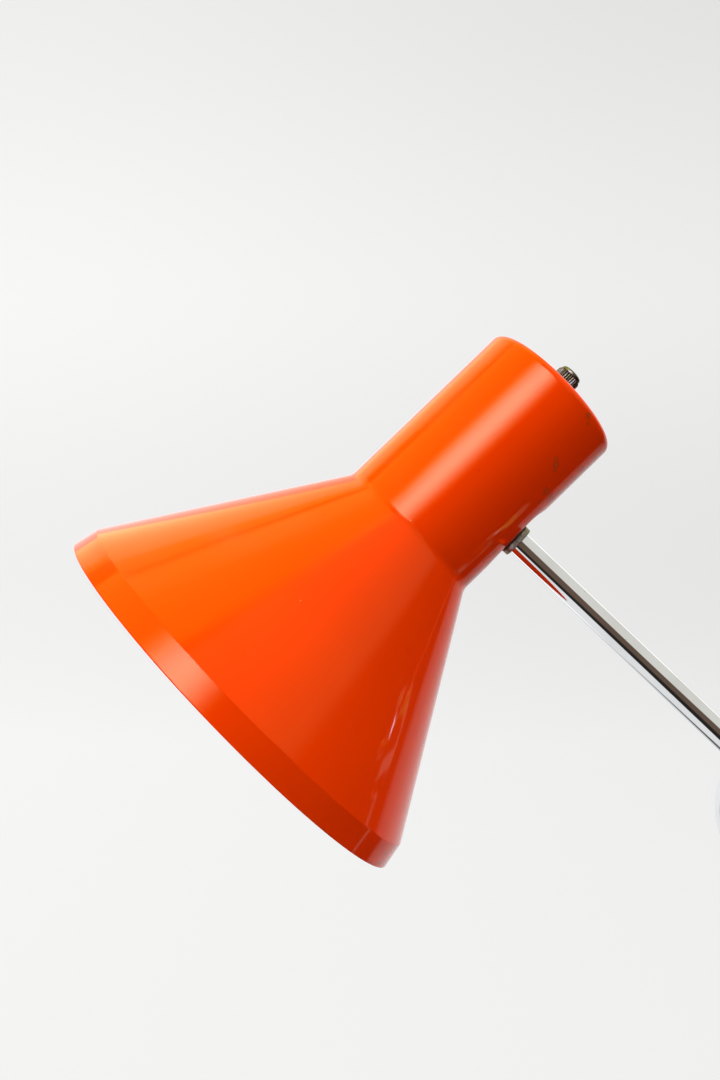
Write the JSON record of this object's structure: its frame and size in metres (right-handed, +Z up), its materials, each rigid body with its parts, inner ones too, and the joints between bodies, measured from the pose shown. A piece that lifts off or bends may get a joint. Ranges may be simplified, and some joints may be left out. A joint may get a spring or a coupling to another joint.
{
  "type": "adjustable lamp",
  "caption": "Adjustable desk lamp with a conical orange-enamelled shade on a short chromed arm, a round friction knuckle, a chromed stem and a weighted base, with an amber safelight bulb.",
  "frame": {"origin": "centre of the base's underside, on the surface the lamp stands on", "axes": "+Z up along the stem; the shade reaches towards -X; the knuckle's pivot is along Y with its screw head towards -Y"},
  "size_m": [0.3665, 0.1923, 0.4757],
  "materials": {
    "orange_enamel": "gloss",
    "bright_chrome": "polished",
    "aged_nickel": "satin",
    "zinc_steel": "satin",
    "lamp_cap_metal": "satin",
    "tungsten": "satin",
    "brass": "satin",
    "black_bakelite": "gloss",
    "black_fibre": "matte",
    "holder_ceramic": "gloss",
    "amber_glass": "gloss",
    "clear_glass": "gloss",
    "cast_iron": "rough",
    "green_felt": "matte",
    "black_rubber": "matte"
  },
  "bodies": {
    "stand": {"rear_cup": "bright_chrome", "rear_hub": "zinc_steel", "friction_ring": "black_fibre", "rear_clamp_screw": "aged_nickel", "pivot_spring": "zinc_steel", "pivot_screw": "bright_chrome", "pivot_nut": "bright_chrome", "base_cover": "orange_enamel", "base_weight": "cast_iron", "base_plate": "zinc_steel", "base_plate_screws": "zinc_steel", "felt_pad": "green_felt", "stem_tube": "bright_chrome", "stem_flange": "bright_chrome", "stem_washer": "zinc_steel", "stem_nut": "zinc_steel", "cable_grommet": "black_rubber", "terminal_block": "black_bakelite", "terminal_screws": "brass", "earth_screw": "zinc_steel"},
    "arm": {"arm_tube": "bright_chrome", "fibre_washer": "black_fibre", "ring_nut": "aged_nickel", "spring_washer": "zinc_steel", "inner_nut": "zinc_steel", "arm_end_bush": "black_bakelite", "front_cup": "bright_chrome", "front_hub": "zinc_steel", "front_clamp_screw": "aged_nickel"},
    "shade_head": {"shade": "orange_enamel", "toothed_washer": "aged_nickel", "switch_nut": "aged_nickel", "switch_collar": "zinc_steel", "switch_body": "black_bakelite", "switch_terminals": "brass", "holder_bracket": "zinc_steel", "holder_nipple": "zinc_steel", "nipple_nut": "zinc_steel", "holder_cap": "black_bakelite", "holder_skirt": "black_bakelite", "holder_core": "holder_ceramic", "holder_contact": "brass", "holder_screw_shell": "brass", "bulb_tip": "lamp_cap_metal", "bulb_insulator": "black_bakelite", "bulb_cap": "lamp_cap_metal", "bulb_glass": "amber_glass", "bulb_stem": "clear_glass", "bulb_filament": "tungsten"},
    "button": {"switch_button": "aged_nickel"}
  },
  "joints": [
    {"name": "arm_tilt", "type": "hinge", "parent": "stand", "child": "arm", "pos_m": [0, -0.015, 0.29], "axis": [0, 1, 0], "range_deg": [-38, 76]},
    {"name": "shade_swivel", "type": "hinge", "parent": "arm", "child": "shade_head", "pos_m": [-0.13528, -0.015, 0.41838], "axis": [-0.7254, 0, 0.6884], "range_deg": [-170, 170]},
    {"name": "switch_push", "type": "slide", "parent": "shade_head", "child": "button", "axis": [-0.7191, -0.041, -0.6937], "range_m": [0, 0.0015], "stiffness_N_per_m": 600}
  ]
}
